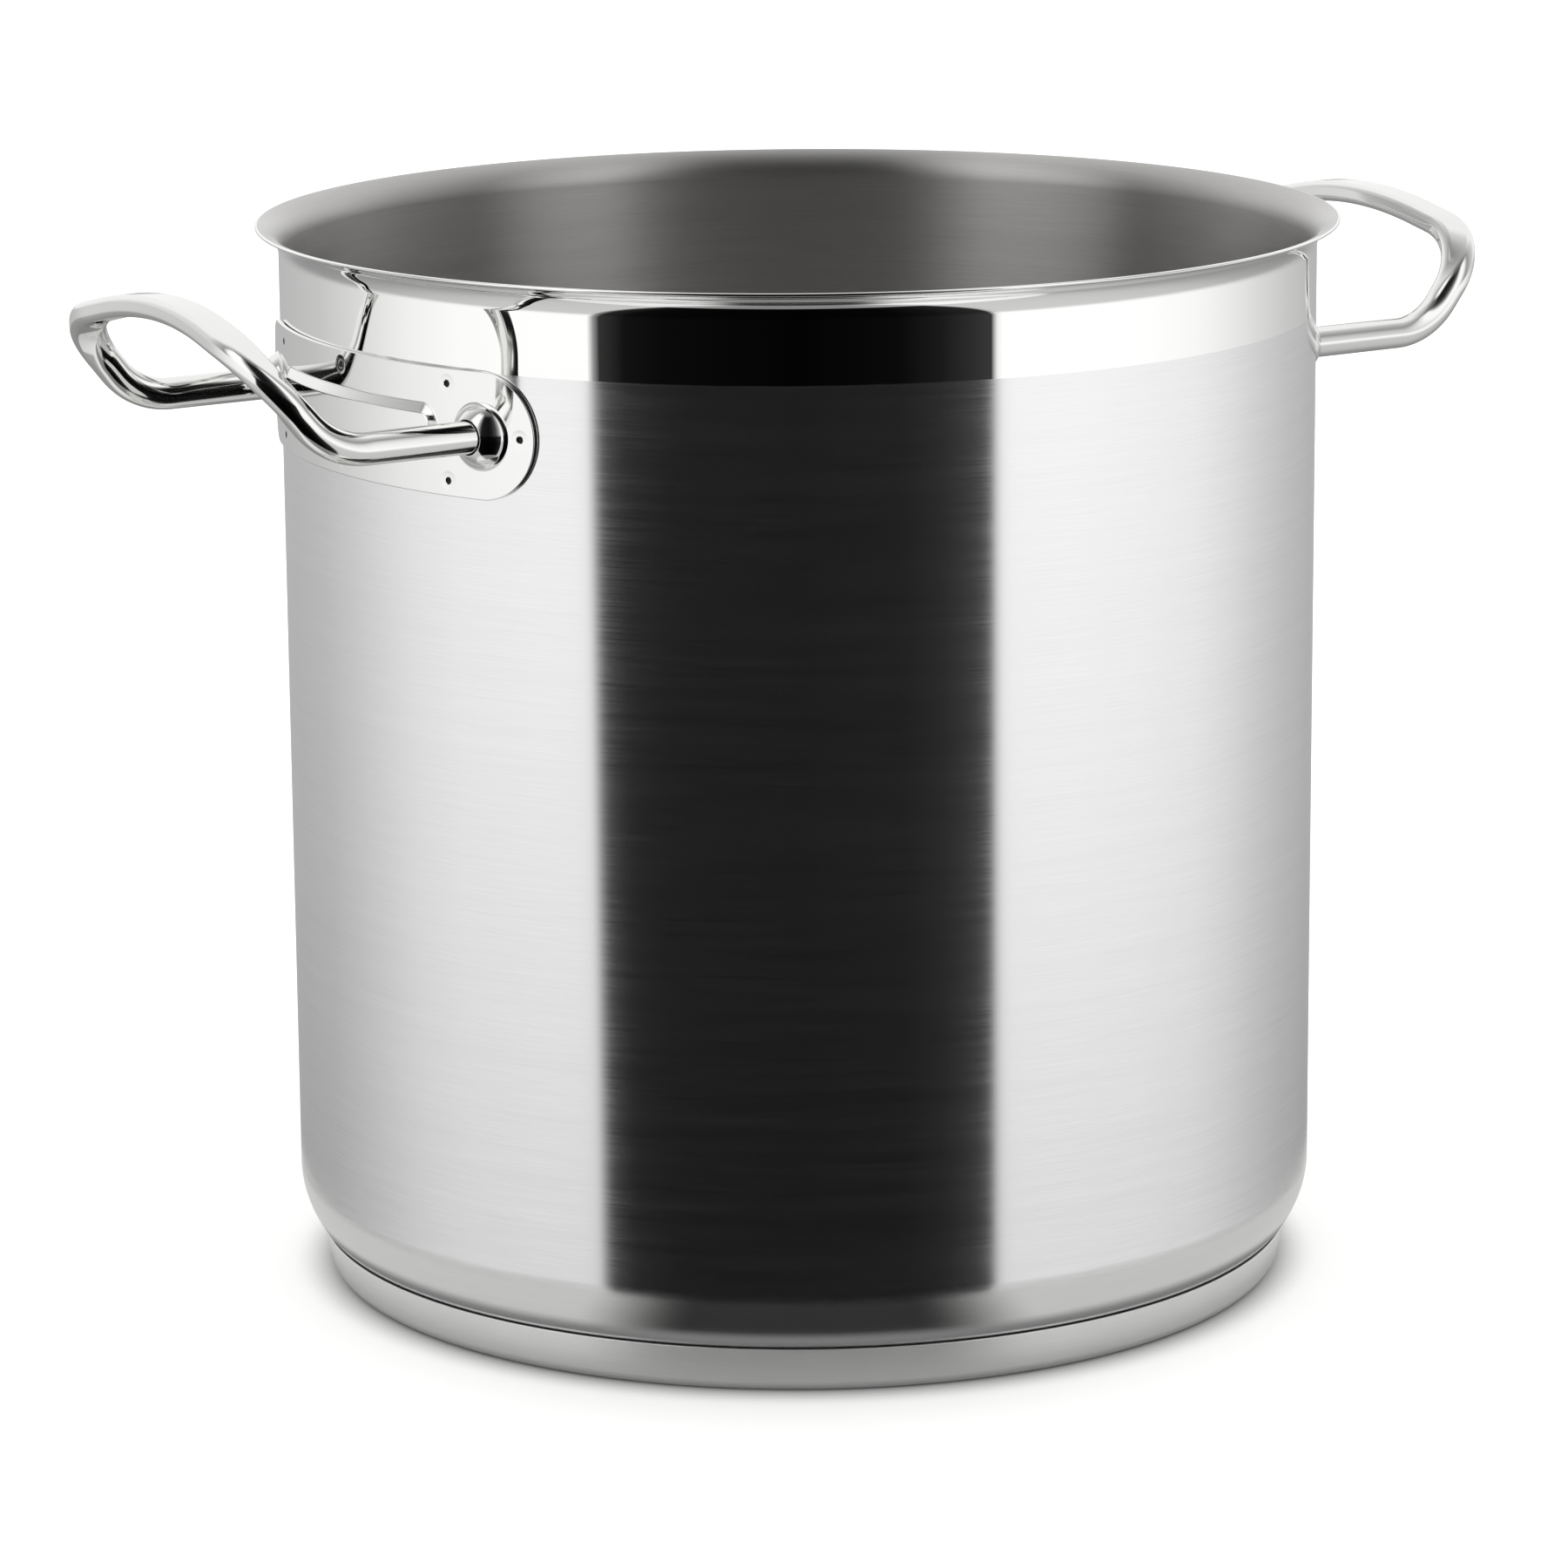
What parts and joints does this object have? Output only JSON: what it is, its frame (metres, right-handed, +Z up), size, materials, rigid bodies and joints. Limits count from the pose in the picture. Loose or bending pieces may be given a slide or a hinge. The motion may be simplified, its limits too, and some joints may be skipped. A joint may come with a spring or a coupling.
{
  "type": "stock pot",
  "caption": "Deep straight-sided stainless stock pot with a flared pouring lip, a sandwich base and a raised bar handle on a welded plate at each side.",
  "frame": {"origin": "centre of the underside of the base, on the plane that the pot stands on", "axes": "+Z up along the pot's axis, the handles at +X and -X"},
  "size_m": [0.5122, 0.3782, 0.375],
  "materials": {
    "brushed_stainless": "satin brushed round the pot, with a mirror-polished band under the lip",
    "base_stainless": "fine satin",
    "core_aluminium": "plain rolled, hidden",
    "polished_bar": "mirror-polished stainless steel bar",
    "polished_plate": "mirror-polished stainless steel sheet",
    "weld_metal": "stainless weld metal, hidden"
  },
  "bodies": {
    "root": {"pot_body": "brushed_stainless", "base_core_disc": "core_aluminium", "base_cap": "base_stainless", "left_handle_bar": "polished_bar", "right_handle_bar": "polished_bar", "left_handle_plate": "polished_plate", "right_handle_plate": "polished_plate", "left_handle_spot_welds": "weld_metal", "right_handle_spot_welds": "weld_metal", "left_handle_end_welds": "weld_metal", "right_handle_end_welds": "weld_metal"}
  },
  "joints": []
}
